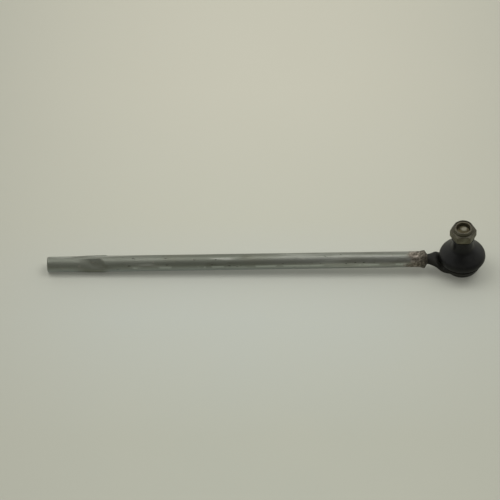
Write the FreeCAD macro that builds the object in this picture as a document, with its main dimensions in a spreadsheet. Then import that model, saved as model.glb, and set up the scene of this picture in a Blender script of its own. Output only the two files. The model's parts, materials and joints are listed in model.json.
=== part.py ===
import FreeCAD, Part
import math
import os
import Sketcher
from FreeCAD import Placement, Rotation, Vector

# Steering tie rod: a steel tube with a female thread in its swaged left end and a pair of
# pressed wrench flats, welded at its right end to the forged housing of a ball joint.
# The rod frame has its origin at the ball centre, -X along the tube and +Z along the stud.
# The finished rod lies on a level surface, on its left end and on the rim of the housing.
# Lengths are in millimetres and angles in degrees.

DRIVING_SIZES = [
    # tube with its swaged, threaded left end
    ("tube_length", 378.0),
    ("tube_radius", 8.0),
    ("tube_wall", 2.5),
    ("swage_radius", 7.75),
    ("thread_bore_radius", 5.25),
    ("thread_length", 23.0),
    ("tube_end_round", 1.5),
    ("thread_mouth_chamfer", 0.75),
    # wrench flats pressed into the tube
    ("flat_ramp_length", 21.0),
    ("flat_length", 10.0),
    ("flat_end_length", 4.5),
    ("flat_from_axis", 5.8),
    ("flat_half_width", 5.2),
    ("flat_side_reach", 8.7),
    ("flat_inner_half_width", 3.6),
    ("flat_turn", -45.0),
    # neck and spigot of the forging, and the weld on the tube's end
    ("neck_reach", 37.0),
    ("neck_radius", 5.1),
    ("waist_share", 0.27),
    ("waist_widening", 0.2),
    ("swell_share", 0.64),
    ("swell_widening", 2.3),
    ("swell_drop", 0.2),
    ("flare_reach", 2.8),
    ("flare_widening", 4.8),
    ("flare_drop", 0.9),
    ("web_reach", 2.3),
    ("web_widening", 6.7),
    ("web_thinning", 0.5),
    ("web_drop", 4.0),
    ("root_depth", 1.2),
    ("root_widening", 8.3),
    ("root_thinning", 0.2),
    ("root_drop", 5.1),
    ("neck_end_share", 0.55),
    ("neck_end_inset", 2.0),
    ("neck_end_drop", 5.3),
    ("spigot_length", 12.0),
    ("spigot_clearance", 0.05),
    ("weld_length", 7.0),
    ("weld_height", 1.0),
    ("weld_toe", 2.0),
    ("weld_crest_share", 0.5),
    ("weld_fall_share", 0.62),
    ("weld_rise_share", 0.6),
    ("weld_clearance", 0.05),
    # cup of the forging
    ("base_depth", 14.2),
    ("lip_outer_radius", 11.6),
    ("lip_inner_radius", 9.8),
    ("lip_thickness", 1.4),
    ("cup_low_radius", 18.0),
    ("cup_low_depth", 7.6),
    ("cup_corner_radius", 12.0),
    ("cup_top_radius", 20.4),
    ("cup_shoulder_height", 0.0),
    ("groove_radius", 17.2),
    ("groove_width", 3.0),
    ("rim_radius", 18.5),
    ("cup_height", 8.0),
    ("rim_chamfer", 1.6),
    ("mouth_height", 5.8),
    ("mouth_flare", 2.2),
    # ball and its seats
    ("ball_radius", 11.0),
    ("ball_flat_depth", 8.9),
    ("ball_clearance", 0.05),
    ("bearing_wall", 2.0),
    ("bearing_split_gap", 0.3),
    ("bearing_cone_height", 3.0),
    ("bearing_top_height", 5.2),
    ("bearing_depth", 9.6),
    ("spring_thickness", 0.8),
    ("spring_outer_radius", 12.0),
    ("spring_inner_radius", 6.6),
    ("cover_radius", 12.4),
    ("cover_thickness", 1.4),
    ("cover_dish", 0.5),
    ("cover_step_inset", 2.0),
    ("cover_step_width", 1.5),
    ("cover_top_dish", 0.14),
    # stud
    ("stud_neck_radius", 6.0),
    ("stud_neck_height", 14.0),
    ("taper_start_height", 16.4),
    ("taper_large_radius", 8.1),
    ("taper_small_radius", 7.3),
    ("stud_thread_radius", 7.0),
    ("stud_end_depth", 3.4),
    ("thread_start_depth", 1.0),
    ("thread_step_height", 0.5),
    ("stud_end_chamfer", 1.0),
    # rubber boot and its two rings
    ("boot_wall", 1.6),
    ("boot_bead_radius", 19.7),
    ("boot_bulge_radius", 23.2),
    ("boot_bulge_height", 4.8),
    ("boot_shoulder_radius", 5.9),
    ("boot_shoulder_angle", 50.0),
    ("boot_neck_radius", 10.3),
    ("boot_neck_height", 18.0),
    ("boot_clearance", 0.3),
    ("boot_bead_edge", 0.4),
    ("boot_under_inset", 0.9),
    ("boot_foot_width", 0.9),
    ("boot_foot_rise", 1.3),
    ("boot_foot_drop", 0.5),
    ("boot_inside_drop", 0.2),
    ("boot_under_wall", 0.5),
    ("boot_under_rise", 0.9),
    ("boot_rim_gap", 0.5),
    ("ring_wire_radius", 0.6),
    ("upper_ring_depth", 1.6),
    # lock nut with its nylon ring
    ("nut_across_flats", 23.0),
    ("nut_seat_height", 33.0),
    ("nut_hex_height", 8.8),
    ("nut_height", 12.6),
    ("nut_chamfer_height", 0.9),
    ("nut_face_inset", 0.2),
    ("nut_bore_clearance", 0.05),
    ("crown_radius", 10.0),
    ("crown_round", 1.3),
    ("crown_foot_height", 0.4),
    ("crown_lip_thickness", 0.9),
    ("crown_lip_overlap", 0.7),
    ("insert_outer_radius", 8.8),
    ("insert_height", 3.4),
    ("insert_edge", 0.3),
]


class Measure:
    """A size held both as a number and as the sheet expression that gives it."""

    def __init__(self, number, text):
        self.number = number
        self.text = text

    def __add__(self, other):
        other = as_measure(other)
        return Measure(self.number + other.number, f"({self.text} + {other.text})")

    def __sub__(self, other):
        other = as_measure(other)
        return Measure(self.number - other.number, f"({self.text} - {other.text})")

    def __mul__(self, other):
        other = as_measure(other)
        return Measure(self.number * other.number, f"({self.text} * {other.text})")

    def __truediv__(self, other):
        other = as_measure(other)
        return Measure(self.number / other.number, f"({self.text} / {other.text})")

    def __neg__(self):
        return Measure(-self.number, f"(-1 * {self.text})")


def as_measure(value):
    if isinstance(value, Measure):
        return value
    return Measure(float(value), repr(float(value)))


def root(value):
    return Measure(math.sqrt(value.number), f"sqrt({value.text})")


def sine(angle):
    return Measure(math.sin(math.radians(angle.number)), f"sin({angle.text})")


def cosine(angle):
    return Measure(math.cos(math.radians(angle.number)), f"cos({angle.text})")


def chord_at(radius, height):
    """Half the width of a circle of that radius, at that height above its centre."""
    return root(radius * radius - height * height)


def write_sheet(doc):
    """Put every driving size into a cell with an alias, and return them by name."""
    sheet = doc.addObject("Spreadsheet::Sheet", "sizes")
    measures = {}
    for row, (alias, number) in enumerate(DRIVING_SIZES, start=1):
        sheet.set(f"A{row}", alias.replace("_", " "))
        sheet.set(f"B{row}", str(number))
        sheet.setAlias(f"B{row}", alias)
        measures[alias] = Measure(number, f"sizes.{alias}")
    doc.recompute()
    return measures


doc = FreeCAD.newDocument("tie_rod")
size = write_sheet(doc)
AXIS = as_measure(0.0)
# How far a cutting tool reaches past the face that it opens
CUT_MARGIN = 1.0


def arc_between(start, end, radius, side):
    """Arc that bows to the left of the way from start to end for side 1, to the right for -1.
    It is drawn counterclockwise, so with side 1 its first end is the end point."""
    middle = (start + end) * 0.5
    along = end - start
    half = along.Length / 2.0
    rise = radius - math.sqrt(max(radius * radius - half * half, 0.0))
    left = Vector(-along.y, along.x, 0).normalize()
    through = middle + left * rise * side
    if side > 0:
        return Part.Arc(end, through, start)
    return Part.Arc(start, through, end)


def draw_outline(sketch, corners, bends=None):
    """Close an outline through the corners, each held to the sketch origin by two sizes.
    bends[i] = (radius, side) makes the edge from corner i to the next one an arc."""
    bends = bends or {}
    points = [Vector(x.number, y.number, 0) for x, y in corners]
    ends = []
    for index, start in enumerate(points):
        end = points[(index + 1) % len(points)]
        if index in bends:
            radius, side = bends[index]
            sketch.addGeometry(arc_between(start, end, radius.number, side))
            ends.append((2, 1) if side > 0 else (1, 2))
        else:
            sketch.addGeometry(Part.LineSegment(start, end))
            ends.append((1, 2))
    for index, (x, y) in enumerate(corners):
        following = (index + 1) % len(points)
        first = ends[index][0]
        sketch.addConstraint(Sketcher.Constraint(
            "Coincident", index, ends[index][1], following, ends[following][0]))
        hold_point(sketch, "DistanceX", -2, index, first, x)
        hold_point(sketch, "DistanceY", -1, index, first, y)
    for index, (radius, _) in bends.items():
        row = sketch.addConstraint(Sketcher.Constraint("Radius", index, radius.number))
        sketch.setExpression(f"Constraints[{row}]", radius.text)


def hold_point(sketch, kind, zero_axis, edge, end, distance):
    """Hold one end of an edge at a distance from the sketch origin, or on an axis."""
    if distance is AXIS:
        sketch.addConstraint(Sketcher.Constraint("PointOnObject", edge, end, zero_axis))
        return
    row = sketch.addConstraint(Sketcher.Constraint(kind, -1, 1, edge, end, distance.number))
    sketch.setExpression(f"Constraints[{row}]", distance.text)


def body_sketch(body, name, role, corners, bends=None):
    """A sketch on one of the body's own origin planes."""
    sketch = body.newObject("Sketcher::SketchObject", name)
    plane = [item for item in body.Origin.OriginFeatures if item.Role == role][0]
    sketch.AttachmentSupport = [(plane, "")]
    sketch.MapMode = "FlatFace"
    draw_outline(sketch, corners, bends)
    return sketch


def turned_feature(body, kind, name, axis, corners, bends=None):
    """Turn an outline in the XZ plane about the sketch axis H_Axis (X) or V_Axis (Z)."""
    sketch = body_sketch(body, f"{name}_outline", "XZ_Plane", corners, bends)
    feature = body.newObject(kind, name)
    feature.Profile = sketch
    feature.ReferenceAxis = (sketch, [axis])
    feature.Angle = 360.0
    return feature


def turned_body(name, corners, bends=None):
    """A body turned about the stud axis from one outline of (radius, height) corners."""
    body = doc.addObject("PartDesign::Body", name)
    turned_feature(body, "PartDesign::Revolution", f"{name}_turned", "V_Axis", corners, bends)
    return body


def turned_solid(name, corners, bends=None):
    """A free-standing solid turned about the stud axis, for use in a boolean."""
    sketch = doc.addObject("Sketcher::SketchObject", f"{name}_outline")
    sketch.Placement = Placement(Vector(0, 0, 0), Rotation(Vector(1, 0, 0), 90))
    draw_outline(sketch, corners, bends)
    solid = doc.addObject("Part::Revolution", name)
    solid.Source = sketch
    solid.Axis = Vector(0, 0, 1)
    solid.Base = Vector(0, 0, 0)
    solid.Angle = 360.0
    solid.Solid = True
    return solid


# Places that several pieces share
tube_start = -(size["neck_reach"] + size["tube_length"])
tube_end = -size["neck_reach"]
ramp_start = tube_start + size["thread_length"]
flat_start = ramp_start + size["flat_ramp_length"]
flat_end = flat_start + size["flat_length"]
tube_full = flat_end + size["flat_end_length"]
tube_bore = size["tube_radius"] - size["tube_wall"]
seat_radius = size["ball_radius"] + size["ball_clearance"]
bearing_outer = seat_radius + size["bearing_wall"]
cover_bottom = -(size["base_depth"] - size["lip_thickness"])
cover_top = cover_bottom + size["cover_thickness"]
nut_top = size["nut_seat_height"] + size["nut_height"]
insert_top = nut_top - size["crown_lip_thickness"]
insert_bottom = insert_top - size["insert_height"]
insert_bore = size["stud_thread_radius"] + size["nut_bore_clearance"]
groove_top = size["cup_shoulder_height"] + size["groove_width"]
boot_bottom = size["cup_shoulder_height"] + size["boot_clearance"]
boot_inner = size["groove_radius"] + size["boot_clearance"]
boot_top = size["nut_seat_height"] - size["boot_clearance"]
stud_end = nut_top - size["stud_end_depth"]


def round_section(radius, half_width):
    """Circle cut into two short arcs and two long ones, like the pressed section."""
    reach = chord_at(radius, half_width)
    corners = [(reach, -half_width), (reach, half_width), (-reach, half_width), (-reach, -half_width)]
    bends = {edge: (radius, -1) for edge in range(4)}
    return corners, bends


def pressed_section(from_axis, half_width, side_reach):
    """Two flats joined by two bulged sides."""
    bulge = side_reach - half_width
    side_radius = (bulge * bulge + from_axis * from_axis) / (bulge * 2.0)
    corners = [(from_axis, -half_width), (from_axis, half_width),
               (-from_axis, half_width), (-from_axis, -half_width)]
    bends = {1: (side_radius, -1), 3: (side_radius, -1)}
    return corners, bends


def tube_section(body, name, place, shape):
    """A section across the tube at one place along it, turned with the wrench flats."""
    corners, bends = shape
    sketch = body_sketch(body, name, "YZ_Plane", corners, bends)
    turn = Rotation(Vector(0, 0, 1), size["flat_turn"].number)
    sketch.AttachmentOffset = Placement(Vector(0, 0, place.number), turn)
    sketch.setExpression("AttachmentOffset.Base.z", place.text)
    return sketch


def tube_loft(body, kind, name, places, shapes):
    """A ruled loft along the tube through one section at each place."""
    sections = [tube_section(body, f"{name}_section_{index}", place, shape)
                for index, (place, shape) in enumerate(zip(places, shapes))]
    loft = body.newObject(kind, name)
    loft.Profile = sections[0]
    loft.Sections = sections[1:]
    loft.Ruled = True
    return loft


def make_rod_tube():
    """Steel tube: swaged threaded end, pressed flats whose walls bulge sideways, plain tube."""
    body = doc.addObject("PartDesign::Body", "rod_tube")
    swage = size["swage_radius"]
    rounding = size["tube_end_round"]
    turned_feature(
        body, "PartDesign::Revolution", "swaged_end", "H_Axis",
        [(tube_start, AXIS), (ramp_start, AXIS), (ramp_start, swage),
         (tube_start + rounding, swage), (tube_start, swage - rounding)],
        {3: (rounding, 1)})
    width = size["flat_half_width"]
    pressed = pressed_section(size["flat_from_axis"], width, size["flat_side_reach"])
    tube_loft(
        body, "PartDesign::AdditiveLoft", "wrench_flats",
        [ramp_start, flat_start, flat_end, tube_full],
        [round_section(swage, width), pressed, pressed, round_section(size["tube_radius"], width)])
    turned_feature(
        body, "PartDesign::Revolution", "plain_tube", "H_Axis",
        [(tube_full, AXIS), (tube_end, AXIS), (tube_end, size["tube_radius"]),
         (tube_full, size["tube_radius"])])
    inner_width = size["flat_inner_half_width"]
    wall = size["tube_wall"]
    pressed_inside = pressed_section(
        size["flat_from_axis"] - wall, inner_width, size["flat_side_reach"] - wall)
    tube_loft(
        body, "PartDesign::SubtractiveLoft", "flats_inside",
        [ramp_start, flat_start, flat_end, tube_full],
        [round_section(size["thread_bore_radius"], inner_width), pressed_inside, pressed_inside,
         round_section(tube_bore, inner_width)])
    turned_feature(
        body, "PartDesign::Groove", "plain_bore", "H_Axis",
        [(tube_full, AXIS), (tube_end, AXIS), (tube_end, tube_bore), (tube_full, tube_bore)])
    bore = size["thread_bore_radius"]
    chamfer = size["thread_mouth_chamfer"]
    turned_feature(
        body, "PartDesign::Groove", "thread_bore", "H_Axis",
        [(tube_start, AXIS), (ramp_start, AXIS), (ramp_start, bore),
         (tube_start + chamfer, bore), (tube_start, bore + chamfer)])
    return body


def make_weld_bead():
    """Fillet weld over the tube's end, running down to the neck of the forging."""
    body = doc.addObject("PartDesign::Body", "weld_bead")
    tube = size["tube_radius"]
    neck = size["neck_radius"] + size["weld_clearance"]
    toe = tube_end + size["weld_toe"]
    bead_start = toe - size["weld_length"]
    crest_radius = tube + size["weld_height"]
    crest = bead_start + size["weld_length"] * size["weld_crest_share"]
    fall = toe - crest
    fall_height = crest_radius - neck
    fall_radius = root(fall * fall + fall_height * fall_height) * size["weld_fall_share"]
    rise_radius = size["weld_length"] * size["weld_rise_share"]
    turned_feature(
        body, "PartDesign::Revolution", "weld_ring", "H_Axis",
        [(bead_start, tube), (tube_end, tube), (tube_end, neck), (toe, neck), (crest, crest_radius)],
        {3: (fall_radius, -1), 4: (rise_radius, -1)})
    return body


def neck_section(name, place, half_width, half_height, rise):
    """Ellipse across the neck, wide along Y, at a place along X and a height rise."""
    ellipse = doc.addObject("Part::Ellipse", name)
    ellipse.setExpression("MajorRadius", half_width.text)
    ellipse.setExpression("MinorRadius", half_height.text)
    across = Rotation(Vector(1, 1, 1), 120)
    ellipse.Placement = Placement(Vector(place.number, 0, rise.number), across)
    ellipse.setExpression("Placement.Base.x", place.text)
    ellipse.setExpression("Placement.Base.z", rise.text)
    return ellipse


def make_joint_housing():
    """Forged cup with a neck that fans out into its sides, a spigot inside the tube, a groove
    for the boot, a mouth that holds the bearing in, and a lip rolled over the cover plate."""
    shoulder = size["cup_shoulder_height"]
    top = size["cup_height"]
    rim = size["rim_radius"]
    chamfer = size["rim_chamfer"]
    cup = turned_solid(
        "cup_form",
        [(AXIS, -size["base_depth"]), (size["lip_outer_radius"], -size["base_depth"]),
         (size["cup_low_radius"], -size["cup_low_depth"]),
         (size["cup_top_radius"], shoulder - chamfer), (size["cup_top_radius"] - chamfer, shoulder),
         (size["groove_radius"], shoulder), (size["groove_radius"], groove_top),
         (rim, groove_top), (rim, top - chamfer), (rim - chamfer, top), (AXIS, top)],
        {1: (size["cup_corner_radius"], -1), 3: (chamfer, 1), 8: (chamfer, 1)})
    neck = size["neck_radius"]
    bead = size["boot_bead_radius"]
    low = size["cup_low_radius"]
    flare = -(size["boot_bulge_radius"] + size["flare_reach"])
    waist = tube_end + (flare - tube_end) * size["waist_share"]
    swell = tube_end + (flare - tube_end) * size["swell_share"]
    stations = [
        ("neck_at_weld", tube_end, neck, neck, AXIS),
        ("neck_waist", waist, neck + size["waist_widening"], neck, AXIS),
        ("neck_swell", swell, neck + size["swell_widening"], neck, -size["swell_drop"]),
        ("neck_flare", flare, neck + size["flare_widening"], neck, -size["flare_drop"]),
        ("neck_web", -(bead + size["web_reach"]), neck + size["web_widening"],
         neck - size["web_thinning"], -size["web_drop"]),
        ("neck_root", -(bead - size["root_depth"]), neck + size["root_widening"],
         neck - size["root_thinning"], -size["root_drop"]),
        ("neck_end", -(low * size["neck_end_share"]), low - size["neck_end_inset"],
         neck, -size["neck_end_drop"]),
    ]
    loft = doc.addObject("Part::Loft", "neck_form")
    loft.Sections = [neck_section(*station) for station in stations]
    loft.Solid = True
    loft.Ruled = False
    spigot = doc.addObject("Part::Cylinder", "spigot")
    spigot.setExpression("Radius", (tube_bore - size["spigot_clearance"]).text)
    spigot.setExpression("Height", size["spigot_length"].text)
    spigot_start = tube_end - size["spigot_length"]
    spigot.Placement = Placement(Vector(spigot_start.number, 0, 0), Rotation(Vector(0, 1, 0), 90))
    spigot.setExpression("Placement.Base.x", spigot_start.text)
    solid = doc.addObject("Part::MultiFuse", "forging")
    solid.Shapes = [cup, loft, spigot]
    mouth = bearing_outer - (size["mouth_height"] - size["bearing_cone_height"])
    below = -(size["base_depth"] + CUT_MARGIN)
    cavity = turned_solid(
        "cavity",
        [(AXIS, below), (size["lip_inner_radius"], below), (size["lip_inner_radius"], cover_bottom),
         (size["cover_radius"], cover_bottom), (size["cover_radius"], cover_top),
         (bearing_outer, cover_top + (bearing_outer - size["cover_radius"])),
         (bearing_outer, size["bearing_cone_height"]), (mouth, size["mouth_height"]),
         (mouth + size["mouth_flare"], top), (mouth + size["mouth_flare"], top + CUT_MARGIN),
         (AXIS, top + CUT_MARGIN)])
    housing = doc.addObject("Part::Cut", "joint_housing")
    housing.Base = solid
    housing.Tool = cavity
    return housing


def make_upper_bearing():
    """Plastic seat above the ball's equator, with a cone that bears in the housing."""
    half_gap = size["bearing_split_gap"] * 0.5
    top = size["bearing_top_height"]
    cone = size["bearing_cone_height"]
    return turned_body(
        "upper_bearing",
        [(chord_at(seat_radius, half_gap), half_gap), (bearing_outer, half_gap),
         (bearing_outer, cone), (bearing_outer - (top - cone), top), (chord_at(seat_radius, top), top)],
        {4: (seat_radius, 1)})


def make_lower_bearing():
    """Plastic seat below the ball's equator, open under the ball's flat."""
    half_gap = size["bearing_split_gap"] * 0.5
    depth = size["bearing_depth"]
    return turned_body(
        "lower_bearing",
        [(chord_at(seat_radius, half_gap), -half_gap), (bearing_outer, -half_gap),
         (bearing_outer, -depth), (chord_at(seat_radius, depth), -depth)],
        {3: (seat_radius, -1)})


def make_disc_spring():
    """Coned steel washer that presses the lower seat up from the cover plate."""
    thickness = size["spring_thickness"]
    top = -size["bearing_depth"]
    return turned_body(
        "disc_spring",
        [(size["spring_outer_radius"], cover_top), (size["spring_outer_radius"], cover_top + thickness),
         (size["spring_inner_radius"], top), (size["spring_inner_radius"], top - thickness)])


def make_cover_plate():
    """Pressed steel disc under the spring, dished up in the middle."""
    dish = size["cover_dish"]
    inner = size["lip_inner_radius"] - size["cover_step_inset"]
    well = inner - size["cover_step_width"]
    return turned_body(
        "cover_plate",
        [(AXIS, cover_bottom + dish), (well, cover_bottom + dish), (inner, cover_bottom),
         (size["cover_radius"], cover_bottom), (size["cover_radius"], cover_top),
         (inner, cover_top), (well, cover_top - size["cover_top_dish"]), (AXIS, cover_top)])


def make_ball_stud():
    """Ball, neck, taper and thread in one turned piece."""
    ball = size["ball_radius"]
    flat = size["ball_flat_depth"]
    neck = size["stud_neck_radius"]
    thread = size["stud_thread_radius"]
    thread_foot = size["nut_seat_height"] - size["thread_start_depth"]
    thread_start = thread_foot + size["thread_step_height"]
    chamfer = size["stud_end_chamfer"]
    neck_base = chord_at(ball, neck)
    return turned_body(
        "ball_stud",
        [(AXIS, -flat), (chord_at(ball, flat), -flat), (neck, neck_base),
         (neck, size["stud_neck_height"]), (size["taper_large_radius"], size["taper_start_height"]),
         (size["taper_small_radius"], thread_foot), (thread, thread_start),
         (thread, stud_end - chamfer), (thread - chamfer, stud_end), (AXIS, stud_end)],
        {1: (ball, -1)})


def make_dust_boot():
    """Rubber boot: bead in the housing's groove, rounded bulge, conical top, tall neck."""
    wall = size["boot_wall"]
    bead = size["boot_bead_radius"]
    bulge = size["boot_bulge_radius"]
    level = size["boot_bulge_height"]
    shoulder = size["boot_shoulder_radius"]
    angle = size["boot_shoulder_angle"]
    neck = size["boot_neck_radius"]
    neck_low = size["boot_neck_height"]
    centre = bulge - shoulder
    turn_x = centre + shoulder * cosine(angle)
    turn_z = level + shoulder * sine(angle)
    inside = shoulder - wall
    in_x = centre + inside * cosine(angle)
    in_z = level + inside * sine(angle)
    under = groove_top + size["boot_clearance"]
    bead_top = groove_top - size["boot_clearance"]
    foot = neck_low - size["boot_foot_drop"]
    rim_clear = size["rim_radius"] + size["boot_clearance"]
    return turned_body(
        "dust_boot",
        [(boot_inner, boot_bottom), (bead, boot_bottom), (bead, bead_top - size["boot_bead_edge"]),
         (bulge - size["boot_under_inset"], bead_top), (bulge, level), (turn_x, turn_z),
         (neck + size["boot_foot_width"], foot), (neck, foot + size["boot_foot_rise"]),
         (neck, boot_top), (neck - wall, boot_top),
         (neck - wall, neck_low - size["boot_inside_drop"]), (in_x, in_z), (bulge - wall, level),
         (bulge - wall - size["boot_under_wall"], under + size["boot_under_rise"]),
         (rim_clear, under + size["boot_rim_gap"]), (rim_clear, bead_top), (boot_inner, bead_top)],
        {4: (shoulder, -1), 11: (inside, 1)})


def make_boot_ring(name, seat, height):
    """Round wire ring that lies on the outside of the boot."""
    body = doc.addObject("PartDesign::Body", name)
    wire = size["ring_wire_radius"]
    middle = seat + wire
    torus = body.newObject("PartDesign::AdditiveTorus", f"{name}_wire")
    torus.setExpression("Radius1", middle.text)
    torus.setExpression("Radius2", wire.text)
    torus.AttachmentOffset = Placement(Vector(0, 0, height.number), Rotation())
    torus.setExpression("AttachmentOffset.Base.z", height.text)
    plane = [item for item in body.Origin.OriginFeatures if item.Role == "XY_Plane"][0]
    torus.AttachmentSupport = [(plane, "")]
    torus.MapMode = "FlatFace"
    return body


def make_lock_nut():
    """Hexagon with chamfered corners and a round crown that is rolled over the nylon ring."""
    low = size["nut_seat_height"]
    corner = size["nut_across_flats"] / math.sqrt(3.0)
    face = size["nut_across_flats"] * 0.5 - size["nut_face_inset"]
    prism = doc.addObject("Part::Prism", "nut_hexagon")
    prism.Polygon = 6
    prism.setExpression("Circumradius", corner.text)
    prism.setExpression("Height", size["nut_height"].text)
    prism.setExpression("Placement.Base.z", low.text)
    hex_top = low + size["nut_hex_height"]
    chamfer = size["nut_chamfer_height"]
    crown = size["crown_radius"]
    rounding = size["crown_round"]
    envelope = turned_solid(
        "nut_envelope",
        [(AXIS, low), (face, low), (corner, low + chamfer), (corner, hex_top - chamfer),
         (face, hex_top), (crown, hex_top + size["crown_foot_height"]), (crown, nut_top - rounding),
         (crown - rounding, nut_top), (AXIS, nut_top)],
        {6: (rounding, 1)})
    solid = doc.addObject("Part::MultiCommon", "nut_solid")
    solid.Shapes = [prism, envelope]
    seat = size["insert_outer_radius"]
    mouth = seat - size["crown_lip_overlap"]
    below = low - CUT_MARGIN
    above = nut_top + CUT_MARGIN
    hole = turned_solid(
        "nut_hole",
        [(AXIS, below), (insert_bore, below), (insert_bore, insert_bottom), (seat, insert_bottom),
         (seat, insert_top), (mouth, nut_top), (mouth, above), (AXIS, above)])
    nut = doc.addObject("Part::Cut", "lock_nut")
    nut.Base = solid
    nut.Tool = hole
    return nut


def make_nut_insert():
    """Nylon ring held in the crown of the nut."""
    outer = size["insert_outer_radius"]
    edge = size["insert_edge"]
    return turned_body(
        "nut_insert",
        [(insert_bore, insert_bottom), (outer, insert_bottom), (outer, insert_top),
         (insert_bore + edge, insert_top), (insert_bore, insert_top - edge)])


ring_height = boot_bottom + (groove_top - boot_bottom) * 0.5
parts = [
    make_rod_tube(),
    make_weld_bead(),
    make_joint_housing(),
    make_upper_bearing(),
    make_lower_bearing(),
    make_disc_spring(),
    make_cover_plate(),
    make_ball_stud(),
    make_dust_boot(),
    make_boot_ring("boot_lower_ring", size["boot_bead_radius"], ring_height),
    make_boot_ring("boot_upper_ring", size["boot_neck_radius"], boot_top - size["upper_ring_depth"]),
    make_lock_nut(),
    make_nut_insert(),
]
for part in parts:
    part.Label = part.Name
doc.recompute()


def rest_placement():
    """Lay the rod on the level plane z = 0, on its left end and on the housing's lip, with the
    origin under the middle of the finished object."""
    lip = size["lip_outer_radius"].number
    depth = size["base_depth"].number
    foot_radius = size["swage_radius"].number
    foot_reach = -tube_start.number - size["tube_end_round"].number
    slope = math.atan2(depth - foot_radius, foot_reach - lip)
    turn = Rotation(Vector(0, 1, 0), -math.degrees(slope))
    height = depth * math.cos(slope) + lip * math.sin(slope)
    laid = Part.makeCompound([part.Shape for part in parts])
    laid.Placement = Placement(Vector(0, 0, height), turn)
    extent = laid.optimalBoundingBox()
    middle = (extent.XMin + extent.XMax) / 2.0
    return Placement(Vector(-middle, 0, height), turn)


rest = rest_placement()
for part in parts:
    part.Placement = rest
doc.recompute()

for item in doc.Objects:
    if "Invalid" in item.State or "Error" in item.State:
        raise RuntimeError(f"{item.Name} failed: {item.State}")
for part in parts:
    if part.Shape.isNull() or not part.Shape.isValid():
        raise RuntimeError(f"{part.Label} has no valid shape")

os.makedirs("parts", exist_ok=True)
for part in parts:
    part.Shape.exportStep(f"parts/{part.Label}.step")
    print(part.Label, "solids", len(part.Shape.Solids), "volume", round(part.Shape.Volume, 1))
print("ball centre", rest.Base, "slope", rest.Rotation.Angle * 180 / math.pi)
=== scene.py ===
"""Looks of a used steering tie rod that lies on a pale floor: tube, weld, ball joint, boot and lock nut."""
import json
import math

import bmesh
import bpy
import numpy as np
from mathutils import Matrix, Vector


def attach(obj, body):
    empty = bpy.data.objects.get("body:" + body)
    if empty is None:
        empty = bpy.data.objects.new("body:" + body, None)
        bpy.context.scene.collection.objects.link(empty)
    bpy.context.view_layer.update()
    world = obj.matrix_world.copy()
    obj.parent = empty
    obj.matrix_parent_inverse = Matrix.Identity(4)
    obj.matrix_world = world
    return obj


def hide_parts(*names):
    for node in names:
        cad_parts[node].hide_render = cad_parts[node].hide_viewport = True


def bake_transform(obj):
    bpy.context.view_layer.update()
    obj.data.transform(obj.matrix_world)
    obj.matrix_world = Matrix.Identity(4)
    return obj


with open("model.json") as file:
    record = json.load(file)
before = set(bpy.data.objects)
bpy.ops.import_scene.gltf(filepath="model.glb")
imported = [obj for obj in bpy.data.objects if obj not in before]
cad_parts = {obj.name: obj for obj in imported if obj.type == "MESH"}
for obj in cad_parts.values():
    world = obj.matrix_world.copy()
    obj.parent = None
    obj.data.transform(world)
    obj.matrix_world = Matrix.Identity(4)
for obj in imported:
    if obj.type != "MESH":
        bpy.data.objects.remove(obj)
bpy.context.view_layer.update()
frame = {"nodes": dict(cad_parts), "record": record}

# The rod frame: origin at the ball's centre, -X along the tube, +Z along the stud.
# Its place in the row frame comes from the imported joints. Sizes are in millimetres unless a line says metres.
JOINTS = {joint["name"]: joint for joint in frame["record"]["behaviour"]["joints"]}
BALL_CENTRE = Vector(JOINTS["stud_spin"]["pos_m"])
ALONG = Vector(JOINTS["stud_rock"]["axis"])
ACROSS = Vector(JOINTS["stud_swing"]["axis"])
UP = Vector(JOINTS["stud_spin"]["axis"])
LAY = np.array([ALONG, ACROSS, UP]).T
MM = 0.001

# Tube: places along it are rod-frame X
TUBE_END = -37.0
TUBE_START = TUBE_END - 378.0
TUBE_RADIUS = 8.0
TUBE_BORE = 5.5
WALL = 2.5
SWAGE_RADIUS = 7.75
END_ROUND = 1.5
THREAD_BORE = 5.25
THREAD_LENGTH = 23.0
THREAD_PITCH = 1.5
THREAD_DEPTH = 0.75
MOUTH_CHAMFER = 0.75

# Pressed wrench flats: a long ramp, the flat, a short ramp back to the round tube
RAMP_START = TUBE_START + THREAD_LENGTH
FLAT_START = RAMP_START + 21.0
FLAT_END = FLAT_START + 10.0
PRESS_END = FLAT_END + 4.5
RISE_POWER = 2.4
FLAT_FROM_AXIS = 5.8
FLAT_BULGE = 0.7
FLAT_TURN = math.radians(-45.0)
FLAT_SLANT = 0.42

# Weld between the tube and the neck
WELD_TOE = TUBE_END + 2.0
WELD_START = WELD_TOE - 7.0
WELD_HEIGHT = 1.0
WELD_RIPPLES = 26
WELD_AROUND = 240
NECK_RADIUS = 5.1

# Forging, in metres
FORGING_VOXEL = 0.00045
FORGING_RELAX_STEPS = 6

# Boot: heights are over the ball's centre, along the stud
BOOT_BOTTOM = 0.3
BOOT_WALL = 1.6
BEAD_BORE = 17.6
BEAD_FOOT_RADIUS = 18.2
BEAD_RADIUS = 19.7
BEAD_TOP = 2.7
SKIRT_BORE = 18.85
BULGE_RADIUS = 23.2
BULGE_HEIGHT = 4.8
SHOULDER_RADIUS = 5.9
SHOULDER_ANGLE = math.radians(50.0)
BOOT_NECK_RADIUS = 10.3
BOOT_NECK_HEIGHT = 18.0
NECK_FOOT = BOOT_NECK_HEIGHT + 0.24
FOOT_FILLET = 7.0
BOOT_TOP = 32.7
RING_WIRE = 0.6

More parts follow.
